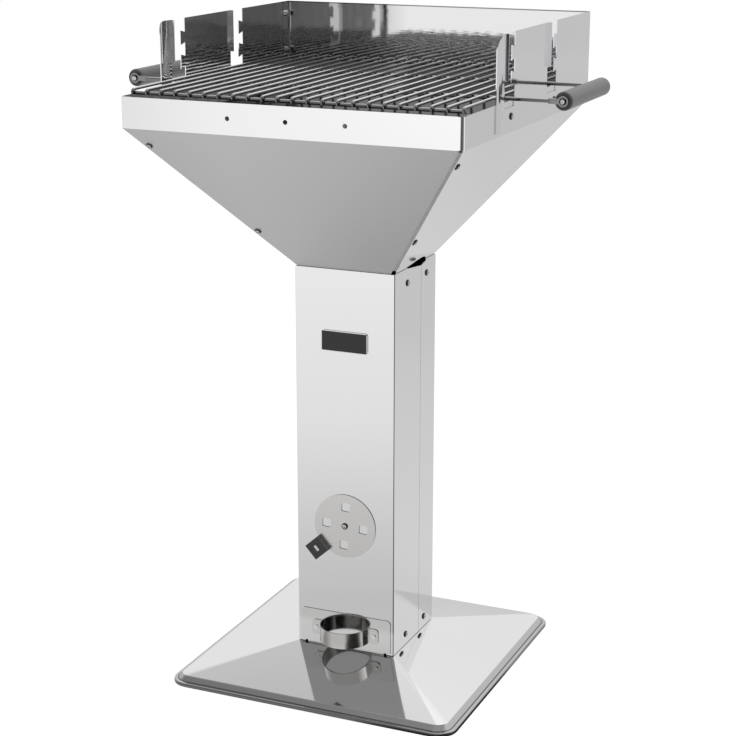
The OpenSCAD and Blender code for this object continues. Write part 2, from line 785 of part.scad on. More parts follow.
// Rod across the grate that passes through both side walls and ends in flattened eyes
module handle_arm(y) {
    cross_rod(grip_reach - tongue_l, y, arm_z, arm_d);
    both_sides() difference() {
        union() {
            translate([grip_reach - tongue_l - cut, y - eye_t / 2, arm_z - tongue_h / 2])
                cube([tongue_l, eye_t, tongue_h]);
            translate([grip_reach, y, arm_z]) rotate([90, 0, 0]) cylinder(d = eye_d, h = eye_t, center = true);
        }
        translate([grip_reach, y, arm_z]) rotate([90, 0, 0]) screw_hole(eye_t);
    }
}

module handle_arm_front() color(bright) handle_arm(arm_ys[0]);

module handle_arm_rear() color(bright) handle_arm(arm_ys[1]);

// Round grip between the two arms, drilled at both ends
module grip() {
    translate([grip_reach, grip_front, arm_z]) rotate([-90, 0, 0]) difference() {
        l = grip_rear - grip_front;
        union() {
            cylinder(d1 = grip_d - 2 * grip_edge, d2 = grip_d, h = grip_edge);
            translate([0, 0, grip_edge]) cylinder(d = grip_d, h = l - 2 * grip_edge);
            translate([0, 0, l - grip_edge]) cylinder(d1 = grip_d, d2 = grip_d - 2 * grip_edge, h = grip_edge);
        }
        translate([0, 0, -cut]) cylinder(d = hole_d, h = grip_bore_l + cut);
        translate([0, 0, l - grip_bore_l]) cylinder(d = hole_d, h = grip_bore_l + cut);
    }
}

module right_grip() color(plastic) grip();

module left_grip() color(plastic) mirror([1, 0, 0]) grip();

module grip_screws() color(bright) both_sides() {
    translate([grip_reach, arm_ys[0] - eye_t / 2, arm_z]) rotate([90, 0, 0]) screw(grip_screw_l);
    translate([grip_reach, arm_ys[1] + eye_t / 2, arm_z]) rotate([-90, 0, 0]) screw(grip_screw_l);
}

module charcoal_grate_bars() color(bright) {
    front = seat_run - inner_at(0, coal_z - coal_d / 2);
    rear = inner_at(2, coal_z - coal_d / 2) - seat_run;
    for (i = [0:coal_bars - 1])
        translate([(i - (coal_bars - 1) / 2) * coal_pitch, front, coal_z]) rotate([-90, 0, 0])
            cylinder(d = coal_d, h = rear - front);
}

module charcoal_grate_cross_rods() color(bright)
    for (y = coal_rod_ys) cross_rod(inner_at(1, coal_low - coal_d / 2) - seat_run, y, coal_low, coal_d);

module vent_disc() color(bright) translate([0, plate_y + sheet_t, vent_z]) difference() {
    union() {
        rotate([90, 0, 0]) cylinder(d = disc_d, h = sheet_t, $fn = fine_fn);
        rotate([0, -tab_turn - disc_turn, 0]) {
            translate([disc_r - knob_tab_w, -sheet_t, -knob_tab_w / 2])
                cube([knob_r - disc_r + knob_tab_w + knob_tab_t / 2, sheet_t, knob_tab_w]);
            translate([knob_r - knob_tab_t / 2, -knob_t - sheet_t, -knob_tab_w / 2])
                cube([knob_tab_t, knob_t + sheet_t, knob_tab_w]);
        }
    }
    air_holes(-disc_turn);
    rotate([90, 0, 0]) cylinder(d = screw_d + 2 * pivot_clear, h = 4 * sheet_t, center = true);
}

module vent_knob() color(plastic) translate([0, plate_y - fit_gap, vent_z]) rotate([0, -tab_turn - disc_turn, 0])
    translate([knob_r, 0, 0]) rotate([90, 0, 0]) linear_extrude(knob_t) difference() {
        square(knob_w, center = true);
        square([knob_tab_t + 2 * knob_gap, knob_tab_w + 2 * knob_gap], center = true);
    }

module drawer_front_plate() color(steel) difference() {
    translate([0, plate_y + sheet_t, front_z]) rotate([90, 0, 0]) linear_extrude(sheet_t) {
        translate([0, front_h / 2]) round_rect(front_w, front_h, front_r);
        translate([-front_w / 2, 0]) square([front_w, front_h / 2]);
    }
    for (x = [-1, 1]) translate([x * rivet_x, plate_y, strap_z]) rotate([90, 0, 0])
        cylinder(d = rivet_d + fit_gap, h = 4 * sheet_t, center = true);
}

module drawer_tray() color(steel) difference() {
    translate([-tray_w / 2, plate_y + sheet_t, tray_z]) difference() {
        cube([tray_w, tray_l, tray_h]);
        translate([tray_t, tray_t, tray_t]) cube([tray_w - 2 * tray_t, tray_l - 2 * tray_t, tray_h]);
    }
    for (x = [-1, 1]) translate([x * rivet_x, plate_y, strap_z]) rotate([90, 0, 0])
        cylinder(d = rivet_d + fit_gap, h = 8 * sheet_t, center = true);
}

module drawer_strap_handle() color(bright) translate([0, plate_y, strap_z - strap_h / 2]) difference() {
    union() {
        intersection() {
            difference() {
                cylinder(r = strap_r, h = strap_h, $fn = fine_fn);
                translate([0, 0, -cut]) cylinder(r = strap_r - strap_t, h = strap_h + 2 * cut, $fn = fine_fn);
            }
            translate([-strap_r, -strap_r, 0]) cube([2 * strap_r, strap_r, strap_h]);
        }
        for (x = [-1, 1]) translate([x * (strap_r + ear_l / 2 - strap_t), 0, strap_h / 2]) rotate([90, 0, 0])
            linear_extrude(strap_t) {
                round_rect(ear_l, strap_h, ear_r);
                translate([-x * ear_l / 4, 0]) square([ear_l / 2, strap_h], center = true);
            }
    }
    for (x = [-1, 1]) translate([x * rivet_x, 0, strap_h / 2]) rotate([90, 0, 0])
        cylinder(d = rivet_d + fit_gap, h = 4 * strap_t, center = true);
}

module drawer_rivets() color(bright)
    for (x = [-1, 1]) translate([x * rivet_x, plate_y - strap_t, strap_z]) rotate([90, 0, 0]) {
        cylinder(d = rivet_head_d, h = rivet_head_h);
        translate([0, 0, -strap_t - sheet_t - tray_t]) cylinder(d = rivet_d, h = strap_t + sheet_t + tray_t);
        translate([0, 0, -strap_t - sheet_t - tray_t - rivet_head_h]) cylinder(d = rivet_head_d, h = rivet_head_h);
    }

base_pan();
column_front_shell();
column_rear_shell();
funnel_front_panel();
funnel_right_panel();
funnel_rear_panel();
funnel_left_panel();
guard_right_wall();
guard_left_wall();
guard_rear_wall();
badge();
vent_pivot_screw();
vent_pivot_washer();
vent_pivot_nut();
column_top_screws();
column_top_nuts();
column_foot_screws();
column_foot_nuts();
funnel_corner_screws();
funnel_corner_nuts();
guard_side_screws();
guard_side_nuts();
guard_rear_screws();
guard_rear_nuts();
guard_corner_screws();
guard_corner_nuts();
cooking_grate_rods();
cooking_grate_front_rod();
cooking_grate_rear_rod();
handle_arm_front();
handle_arm_rear();
left_grip();
right_grip();
grip_screws();
charcoal_grate_bars();
charcoal_grate_cross_rods();
vent_disc();
vent_knob();
drawer_front_plate();
drawer_tray();
drawer_strap_handle();
drawer_rivets();
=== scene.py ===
# Funnel charcoal grill: materials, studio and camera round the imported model. Metres, front towards -Y.
import json
import math

import bpy
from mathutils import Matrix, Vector


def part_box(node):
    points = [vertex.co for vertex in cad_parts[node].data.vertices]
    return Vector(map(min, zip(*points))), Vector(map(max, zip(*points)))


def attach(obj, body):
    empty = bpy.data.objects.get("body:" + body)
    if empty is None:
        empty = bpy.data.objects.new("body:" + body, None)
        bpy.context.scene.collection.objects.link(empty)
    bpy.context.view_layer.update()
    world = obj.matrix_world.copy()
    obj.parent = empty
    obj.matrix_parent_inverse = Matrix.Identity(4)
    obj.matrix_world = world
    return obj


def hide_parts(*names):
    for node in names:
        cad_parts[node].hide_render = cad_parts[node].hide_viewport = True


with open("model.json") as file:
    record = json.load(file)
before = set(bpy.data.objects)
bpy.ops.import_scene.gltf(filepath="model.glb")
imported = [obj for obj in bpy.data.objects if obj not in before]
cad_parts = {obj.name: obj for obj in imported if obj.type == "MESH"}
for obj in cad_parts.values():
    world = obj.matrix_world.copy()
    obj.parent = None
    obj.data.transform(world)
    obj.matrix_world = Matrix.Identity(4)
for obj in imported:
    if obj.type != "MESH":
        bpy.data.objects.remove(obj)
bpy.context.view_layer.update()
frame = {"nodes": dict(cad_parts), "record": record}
nodes = frame["nodes"]
print("grill loaded:", len(nodes), "CAD nodes")

camera = {
    "place": (1.0001, -2.2760, 1.1445),
    "azimuth": 23.67,
    "elevation": 15.88,
    "lens": 88.9,
    "sensor": 36.0,
    "clip": (0.1, 60.0),
}


def makeCamera(c):
    data = bpy.data.cameras.new("photoCamera")
    data.lens, data.sensor_width = c["lens"], c["sensor"]
    data.clip_start, data.clip_end = c["clip"]
    cam = bpy.data.objects.new("photoCamera", data)
    a, e = math.radians(c["azimuth"]), math.radians(c["elevation"])
    back = Vector((math.sin(a) * math.cos(e), -math.cos(a) * math.cos(e), math.sin(e)))
    cam.location = c["place"]
    cam.rotation_mode = "QUATERNION"
    cam.rotation_quaternion = (-back).to_track_quat("-Z", "Y")
    bpy.context.scene.collection.objects.link(cam)
    bpy.context.scene.camera = cam


makeCamera(camera)
print("camera set")


class Tree:
    # Short calls for building a node tree
    def __init__(self, tree):
        self.tree = tree
        tree.nodes.clear()

    def add(self, kind, inputs=(), **settings):
        node = self.tree.nodes.new(kind)
        for key, value in settings.items():
            setattr(node, key, value)
        for key, value in dict(inputs).items():
            if isinstance(value, bpy.types.NodeSocket):
                self.tree.links.new(value, node.inputs[key])
            else:
                node.inputs[key].default_value = value
        return node

    def maths(self, operation, a, b=0.0, clamp=False):
        node = self.add("ShaderNodeMath", {0: a, 1: b}, operation=operation)
        node.use_clamp = clamp
        return node.outputs[0]

    def split(self, vector):
        return self.add("ShaderNodeSeparateXYZ", {0: vector}).outputs

    def joined(self, x=0.0, y=0.0, z=0.0):
        return self.add("ShaderNodeCombineXYZ", {"X": x, "Y": y, "Z": z}).outputs[0]

    def objectPlace(self):
        return self.add("ShaderNodeTexCoord").outputs["Object"]

    def facing(self, axis):
        return self.split(self.add("ShaderNodeNewGeometry").outputs["Normal"])[axis]

    def noise(self, place, scale, detail):
        given = {"Vector": place, "Scale": scale, "Detail": detail}
        return self.add("ShaderNodeTexNoise", given).outputs["Fac"]

    def spread(self, value, low, high, toLow=0.0, toHigh=1.0):
        return self.add("ShaderNodeMapRange", {"Value": value, "From Min": low, "From Max": high,
                                               "To Min": toLow, "To Max": toHigh}).outputs[0]

    def mix(self, share, first, second, blend="MIX"):
        return self.add("ShaderNodeMix", {0: share, 6: first, 7: second}, data_type="RGBA",
                        blend_type=blend).outputs[2]

    def tinted(self, colour, tone):
        return self.mix(1.0, colour, tone, "MULTIPLY")

    def ramp(self, value, stops):
        node = self.add("ShaderNodeValToRGB", {0: value})
        line = node.color_ramp
        while len(line.elements) < len(stops):
            line.elements.new(0.5)
        for element, (place, shade) in zip(line.elements, stops):
            element.position = place
            element.color = (shade, shade, shade, 1)
        return node.outputs[0]

    def rampOver(self, value, stops, start=0.0):
        # A ramp whose stops are lengths; the value is the length beyond start
        first, last = stops[0][0], stops[-1][0]
        share = self.spread(value, first - start, last - start)
        return self.ramp(share, [((stop - first) / (last - first), tone) for stop, tone in stops])


def newMaterial(name):
    material = bpy.data.materials.new(name)
    material.use_nodes = True
    return material, Tree(material.node_tree)


def finishMaterial(tree, shader):
    tree.add("ShaderNodeOutputMaterial", {"Surface": shader})


def roughnessOver(t, noise, s):
    # Roughness that follows a noise between two of its values
    return t.spread(noise, *s["noiseRange"], *(s["roughness"] * share for share in s["roughShare"]))


mirrorSheet = {
    "colour": (0.80, 0.80, 0.805),
    "roughness": 0.05,
    "roughShare": (0.75, 1.35),
    "noiseRange": (0.3, 0.75),
    "smudgeScale": 9.0,
    "wave": 0.004,
    "waveScale": 3.0,
    "scratch": 0.012,
    "scratchDepth": 0.001,
    "scratchScale": (60.0, 60.0, 900.0),
    "sideSpan": (-0.25, 0.25),
    "frontFacing": -0.1,
}
guardSheet = {**mirrorSheet, "roughness": 0.03, "wave": 0.008, "ripple": 0.08, "rippleScale": 30.0}
rearGuard = {
    **guardSheet,
    "leanFrom": 0.845,
    "lean": 1.7,
    # painted shade: a dark line along the top edge
    "paintedUpDownShade": [(0.9242, 1.0), (0.9246, 0.3), (0.926, 0.3)],
    # painted shade: the left part of the wall darker
    "paintedLightAcross": [(0.0, 0.5), (0.28, 0.6), (0.42, 1.0), (1.0, 1.0)],
}
funnelSheet = {
    **mirrorSheet,
    "colour": (0.745, 0.745, 0.76),
    # painted shade: faces that look up, as inside the funnel, are darker
    "paintedSlopeShade": [(0.0, 1.0), (0.6, 1.0), (0.66, 0.45), (1.0, 0.45)],
    "slopeRough": [(0.0, 0.08), (1.0, 0.08)],
}
funnelFront = {
    **mirrorSheet,
    # painted shade: the lower face a little darker, faces that look up darker still
    "paintedSlopeShade": [(0.0, 0.95), (0.35, 0.95), (0.42, 1.0), (0.6, 1.0), (0.66, 0.45), (1.0, 0.45)],
    "slopeRough": [(0.0, 0.55), (0.35, 0.55), (0.42, 0.08), (1.0, 0.08)],
    # painted light and shade: darker at the left, brighter at the right
    "paintedLightAcross": [(0.0, 0.84), (0.3, 0.97), (0.6, 1.0), (1.0, 1.06)],
    "cornerFrom": 0.2405,
    "corner": 140.0,
}
panSheet = {
    **mirrorSheet,
    "roundFrom": 0.188,
    # painted shade: dark bands on the stepped border
    "paintedBorderShade": [(0.2030, 1.0), (0.2042, 0.62), (0.2090, 0.62), (0.2097, 0.15), (0.2107, 0.15),
                 (0.2112, 0.66), (0.2150, 0.6), (0.2156, 0.25)],
}
plateFinish = {
    "colour": (0.76, 0.755, 0.75),
    "roughness": 0.11,
    "roughShare": (0.8, 1.25),
    "noiseRange": (0.3, 0.7),
    "brushScale": (25.0, 25.0, 2600.0),
    "grain": 0.012,
    "grainDepth": 0.0005,
}
trayFinish = {**plateFinish, "colour": (0.70, 0.69, 0.67), "roughness": 0.15, "grain": 0.02}
# the strap's inner face carries a painted shade
strapFinish = {**trayFinish, "radius": 0.0365, "thickness": 0.0015, "paintedInnerShade": 0.3}
discFinish = {**plateFinish, "colour": (0.69, 0.68, 0.665), "roughness": 0.26, "grain": 0.008}
brightWire = {
    "colour": (0.86, 0.86, 0.86),
    "roughness": 0.12,
    "roughShare": (0.7, 1.4),
    "noiseRange": (0.3, 0.7),
    "blotchScale": 60.0,
    # painted shade: the wire darker towards its underside
    "paintedUpDownShade": [(0.0, 0.22), (0.62, 0.25), (0.8, 0.45), (0.93, 1.0)],
}
screwZinc = {
    "colour": (0.78, 0.78, 0.79),
    "roughness": 0.13,
    "roughShare": brightWire["roughShare"],
    "noiseRange": brightWire["noiseRange"],
    "blotchScale": brightWire["blotchScale"],
    # painted shade: a dark rim round each screw head
    "paintedRimShade": [(0.0, 1.0), (0.58, 0.85), (0.76, 0.12), (1.0, 0.08)],
}
gripPlastic = {
    "colour": (0.21, 0.21, 0.213),
    "roughness": 0.34,
    "grain": 0.12,
    "grainDepth": 0.0002,
    "grainScale": 1400.0,
    "endTone": [(0.0, 1.0), (0.8, 1.0), (0.9, 0.2), (1.0, 0.2)],
}
badgeEnamel = {
    "colour": (0.012, 0.012, 0.013),
    "edge": (0.75, 0.75, 0.74),
    "edgeWidth": 0.0012,
    "roughness": 0.3,
}


def sheetMaterial(name, s):
    # Polished sheet: long soft waves from rolling, fine wiping scratches and slight smudges, and painted light
    # and shade where the settings give it
    material, t = newMaterial(name)
    place = t.objectPlace()
    at = t.split(place)
    wave = t.noise(place, s["waveScale"], detail=1.0)
    stretched = t.add("ShaderNodeMapping", {"Vector": place, "Scale": s["scratchScale"]}).outputs[0]
    fine = t.noise(stretched, scale=1.0, detail=3.0)
    rough = roughnessOver(t, t.noise(place, s["smudgeScale"], detail=4.0), s)
    if "ripple" in s:  # finer dents of a thin free-standing wall
        dents = t.noise(place, s["rippleScale"], detail=1.0)
        wave = t.maths("ADD", wave, t.maths("MULTIPLY", dents, s["ripple"]))
    for key, reach in (("lean", at["Z"]), ("corner", t.maths("ABSOLUTE", at["X"]))):
        if key in s:  # the sheet turns away more and more past this line
            past = t.maths("MAXIMUM", t.maths("SUBTRACT", reach, s[key + "From"]), 0.0)
            turned = t.maths("MULTIPLY", t.maths("MULTIPLY", past, past), s[key] / 2 / s["wave"])
            wave = t.maths("SUBTRACT", wave, turned)
    bumpWave = t.add("ShaderNodeBump", {"Height": wave, "Strength": s["wave"], "Distance": 1.0})
    bumpFine = t.add("ShaderNodeBump", {"Height": fine, "Strength": s["scratch"], "Distance": s["scratchDepth"],
                                        "Normal": bumpWave.outputs[0]})
    colour = (*s["colour"], 1)
    if "paintedSlopeShade" in s:  # painted shade in the tone, and roughness, by how far a face looks up or down
        up = t.spread(t.facing("Z"), -1.0, 1.0)
        colour = t.tinted(colour, t.ramp(up, s["paintedSlopeShade"]))
        rough = t.maths("MAXIMUM", rough, t.ramp(up, s["slopeRough"]))
    if "paintedLightAcross" in s:  # painted light and shade: faces towards the front grow brighter from left to right
        across = t.ramp(t.spread(at["X"], *s["sideSpan"]), s["paintedLightAcross"])
        ahead = t.maths("LESS_THAN", t.facing("Y"), s["frontFacing"])
        colour = t.tinted(colour, t.mix(ahead, (1, 1, 1, 1), across))
    if "paintedUpDownShade" in s:  # painted shade: a dark line along the cut top edge
        colour = t.tinted(colour, t.rampOver(at["Z"], s["paintedUpDownShade"]))
    if "paintedBorderShade" in s:  # painted shade in bands on the stepped border, by the distance from the middle of a square with round corners
        past = [t.maths("MAXIMUM", t.maths("SUBTRACT", t.maths("ABSOLUTE", at[axis]), s["roundFrom"]), 0.0)
                for axis in "XY"]
        beyond = t.add("ShaderNodeVectorMath", {0: t.joined(*past)}, operation="LENGTH").outputs["Value"]
        colour = t.tinted(colour, t.rampOver(beyond, s["paintedBorderShade"], s["roundFrom"]))
    shader = t.add("ShaderNodeBsdfPrincipled", {"Base Color": colour, "Metallic": 1.0, "Roughness": rough,
                                                "Normal": bumpFine.outputs[0]})
    finishMaterial(t, shader.outputs[0])
    return material


def satinMaterial(name, s):
    # Satin sheet: brushed along X, with a soft spread of brightness, and a painted shade inside the strap
    material, t = newMaterial(name)
    place = t.objectPlace()
    brushed = t.add("ShaderNodeMapping", {"Vector": place, "Scale": s["brushScale"]}).outputs[0]
    grain = t.noise(brushed, scale=1.0, detail=4.0)
    bump = t.add("ShaderNodeBump", {"Height": grain, "Strength": s["grain"], "Distance": s["grainDepth"]})
    colour = (*s["colour"], 1)
    if "paintedInnerShade" in s:  # painted shade: the inside of the bent strap is darker
        middle = (0.0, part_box("drawer_strap_handle")[0].y + s["radius"], 0.0)
        flat = t.add("ShaderNodeVectorMath", {0: place, 1: (1.0, 1.0, 0.0)}, operation="MULTIPLY").outputs[0]
        reach = t.add("ShaderNodeVectorMath", {0: flat, 1: middle}, operation="DISTANCE").outputs["Value"]
        inside = t.maths("LESS_THAN", reach, s["radius"] - s["thickness"] / 2)
        colour = t.mix(inside, colour, (*(c * s["paintedInnerShade"] for c in s["colour"]), 1))
    shader = t.add("ShaderNodeBsdfPrincipled", {"Base Color": colour, "Metallic": 1.0,
                                                "Roughness": roughnessOver(t, grain, s),
                                                "Normal": bump.outputs[0]})
    finishMaterial(t, shader.outputs[0])
    return material


def wireMaterial(name, s):
    material, t = newMaterial(name)
    rough = roughnessOver(t, t.noise(t.objectPlace(), s["blotchScale"], detail=3.0), s)
    if "paintedUpDownShade" in s:  # painted shade: plated wire darkens from its top towards its underside
        tone = t.ramp(t.spread(t.facing("Z"), -1.0, 1.0), s["paintedUpDownShade"])
    else:  # painted shade: the steep edge of a screw head is darker than its crown
        tone = t.ramp(t.add("ShaderNodeAttribute", attribute_name="reach").outputs["Fac"], s["paintedRimShade"])
    shader = t.add("ShaderNodeBsdfPrincipled", {"Base Color": t.tinted((*s["colour"], 1), tone),
                                                "Metallic": 1.0, "Roughness": rough})
    finishMaterial(t, shader.outputs[0])
    return material


def plasticMaterial(name, s):
    # Moulded plastic with a fine spark-eroded grain and darker end faces
    material, t = newMaterial(name)
    grain = t.noise(t.objectPlace(), s["grainScale"], detail=2.0)
    bump = t.add("ShaderNodeBump", {"Height": grain, "Strength": s["grain"], "Distance": s["grainDepth"]})
    tone = t.ramp(t.maths("ABSOLUTE", t.facing("Y")), s["endTone"])
    shader = t.add("ShaderNodeBsdfPrincipled", {"Base Color": t.tinted((*s["colour"], 1), tone),
                                                "Roughness": s["roughness"], "Normal": bump.outputs[0]})
    finishMaterial(t, shader.outputs[0])
    return material


def badgeMaterial(name, s, low, high):
    # Black enamel inside a narrow bare edge, told apart by the distance from the plate's outline
    material, t = newMaterial(name)
    at = t.split(t.objectPlace())
    middle, half = (low + high) / 2, (high - low) / 2
    across = t.maths("ABSOLUTE", t.maths("SUBTRACT", at["X"], middle.x))
    up = t.maths("ABSOLUTE", t.maths("SUBTRACT", at["Z"], middle.z))
    outside = t.maths("MAXIMUM", t.maths("GREATER_THAN", across, half.x - s["edgeWidth"]),
                      t.maths("GREATER_THAN", up, half.z - s["edgeWidth"]))
    colour = t.mix(outside, (*s["colour"], 1), (*s["edge"], 1))
    shader = t.add("ShaderNodeBsdfPrincipled", {"Base Color": colour, "Metallic": outside,
                                                "Roughness": s["roughness"]})
    finishMaterial(t, shader.outputs[0])
    return material


wire = wireMaterial("brightWire", brightWire)
zinc = wireMaterial("screwZinc", screwZinc)
finishOf = {
    "polished_sheet": sheetMaterial("mirrorSheet", mirrorSheet),
    "satin_sheet": satinMaterial("trayFinish", trayFinish),
    "plated_wire": wire,
    "fasteners": zinc,
    "black_plastic": plasticMaterial("gripPlastic", gripPlastic),
    "badge_plate": badgeMaterial("badgeEnamel", badgeEnamel, *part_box("badge")),
}
funnel = sheetMaterial("funnelSheet", funnelSheet)
finishOfNode = {
    "guard_rear_wall": sheetMaterial("rearGuard", rearGuard),
    "guard_left_wall": sheetMaterial("guardSheet", guardSheet),
    "guard_right_wall": funnel,
    "funnel_front_panel": sheetMaterial("funnelFront", funnelFront),
    "funnel_right_panel": funnel,
    "funnel_rear_panel": funnel,
    "funnel_left_panel": funnel,
    "base_pan": sheetMaterial("panSheet", panSheet),
    "drawer_front_plate": satinMaterial("plateFinish", plateFinish),
    "drawer_strap_handle": satinMaterial("strapFinish", strapFinish),
    "vent_disc": satinMaterial("discFinish", discFinish),
}
bends = {"weld": 0.00001, "crease": 32, "flatWeight": 60}


def squareBends(node, s):
    # Flat faces keep their own normal right up to a bend, so they mirror straight
    node.modifiers.new("weld", "WELD").merge_threshold = s["weld"]
    crease = node.modifiers.new("crease", "EDGE_SPLIT")
    crease.split_angle, crease.use_edge_sharp = math.radians(s["crease"]), False
    node.modifiers.new("flatWeight", "WEIGHTED_NORMAL").weight = s["flatWeight"]


for part in frame["record"]["subparts"]:
    node = nodes[part["node"]]
    node.data.materials.clear()
    node.data.materials.append(finishOfNode.get(part["node"], finishOf[part["material_slot"]]))
    if part["material_slot"] in ("polished_sheet", "satin_sheet"):
        squareBends(node, bends)
print("materials set")

grateRods = {"count": 23, "wire": 0.002, "bend": 0.0035, "steps": 5, "sides": 14}
screwHeads = {
    "headRadius": 0.0047,
    "headSides": 28,
    "headRings": 5,
    "edgeHeight": 0.0009,
    "domeHeight": 0.00168,
    "domePower": 2.6,
    "recessLength": 0.0052,
    "recessWidth": 0.0011,
    "recessDepth": 0.0016,
    "shankRadius": 0.0025,
    "shankSides": 20,
}
frameScrewNodes = ["vent_pivot_screw", "column_top_screws", "column_foot_screws", "funnel_corner_screws",
                   "guard_side_screws", "guard_rear_screws", "guard_corner_screws"]


def newTree(name, sizes):
    # A geometry tree with one named input for each size, and its Tree helper
    tree = bpy.data.node_groups.new(name, "GeometryNodeTree")
    tree.interface.new_socket("Geometry", in_out="INPUT", socket_type="NodeSocketGeometry")
    for key, value in sizes.items():
        kind = "NodeSocketInt" if isinstance(value, int) else "NodeSocketFloat"
        tree.interface.new_socket(key, in_out="INPUT", socket_type=kind)
    tree.interface.new_socket("Geometry", in_out="OUTPUT", socket_type="NodeSocketGeometry")
    t = Tree(tree)
    return tree, t, t.add("NodeGroupInput").outputs


def finishTree(t, geometry, material):
    solid = t.add("GeometryNodeRealizeInstances", {0: geometry}).outputs[0]
    finished = t.add("GeometryNodeSetMaterial", {0: solid, "Material": material}).outputs[0]
    t.add("NodeGroupOutput", {0: finished})


def growPiece(name, seed, tree, sizes, body, replaced, crease):
    # Runs the tree on the seed mesh and keeps the result as a plain piece on its body
    piece = bpy.data.objects.new(name, seed)
    bpy.context.scene.collection.objects.link(piece)
    modifier = piece.modifiers.new(name, "NODES")
    modifier.node_group = tree
    for item in tree.interface.items_tree:
        if item.in_out == "INPUT" and item.name in sizes:
            modifier[item.identifier] = sizes[item.name]
    graph = bpy.context.evaluated_depsgraph_get()
    mesh = bpy.data.meshes.new_from_object(piece.evaluated_get(graph), depsgraph=graph)
    piece.modifiers.clear()
    piece.data = mesh
    mesh.shade_smooth()
    mesh.set_sharp_from_angle(angle=math.radians(crease))
    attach(piece, body)
    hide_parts(*replaced)
    print(name, "made:", len(mesh.polygons), "faces")


def makeGrateRods(s):
    # Main rods of the cooking grate: straight wires whose ends turn down over the cross rods
    low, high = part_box("cooking_grate_rods")
    seed = bpy.data.meshes.new("grateRod")
    r, top = s["wire"], high.z - s["wire"]
    x, front, rear = low.x + r, low.y + r, high.y - r
    path = [(x, front, low.z), (x, front, top), (x, rear, top), (x, rear, low.z)]
    seed.from_pydata(path, [(0, 1), (1, 2), (2, 3)], [])
    sizes = {**s, "pitch": (high.x - low.x - 2 * r) / (s["count"] - 1)}
    tree, t, given = newTree("grateRods", sizes)
    line = t.add("GeometryNodeMeshToCurve", {0: given["Geometry"]}).outputs[0]
    bent = t.add("GeometryNodeFilletCurve", {"Curve": line, "Count": given["steps"], "Radius": given["bend"],
                                             "Limit Radius": True}, mode="POLY").outputs[0]
    ring = t.add("GeometryNodeCurvePrimitiveCircle", {"Resolution": given["sides"],
                                                      "Radius": given["wire"]}).outputs[0]
    rod = t.add("GeometryNodeCurveToMesh", {"Curve": bent, "Profile Curve": ring,
                                            "Fill Caps": True}).outputs[0]
    row = t.add("GeometryNodeMeshLine", {"Count": given["count"],
                                         "Offset": t.joined(given["pitch"])}).outputs[0]
    rods = t.add("GeometryNodeInstanceOnPoints", {"Points": row, "Instance": rod}).outputs[0]
    finishTree(t, rods, wire)
    growPiece("cookingGrateRods", seed, tree, sizes, "cooking_grate", ["cooking_grate_rods"],
              crease=40)


def screwPlaces(node):
    # Seat, axis and length of every screw in a CAD node. The largest flat area of a screw faces its foot.
    mesh = nodes[node].data
    corner = {v.index: tuple(round(c, 6) for c in v.co) for v in mesh.vertices}
    root = {place: place for place in corner.values()}

    def find(place):
        while root[place] != place:
            root[place] = place = root[root[place]]
        return place

    for face in mesh.polygons:
        for v in face.vertices[1:]:
            root[find(corner[v])] = find(corner[face.vertices[0]])
    solids = {}
    for face in mesh.polygons:
        solids.setdefault(find(corner[face.vertices[0]]), []).append(face)
    places = []
    for faces in solids.values():
        flats = {}
        for face in faces:
            flats.setdefault(tuple(round(c, 2) for c in face.normal), []).append(face)
        under = max(flats.values(), key=lambda group: sum(face.area for face in group))
        weight = sum(face.area for face in under)
        axis = -sum((face.normal * face.area for face in under), Vector()).normalized()
        middle = sum((face.center * face.area for face in under), Vector()) / weight
        seat = max(axis.dot(face.center) for face in under)
        foot = min(axis.dot(mesh.vertices[v].co) for face in faces for v in face.vertices)
        places.append((middle + axis * (seat - axis.dot(middle)), axis, seat - foot))
    return places


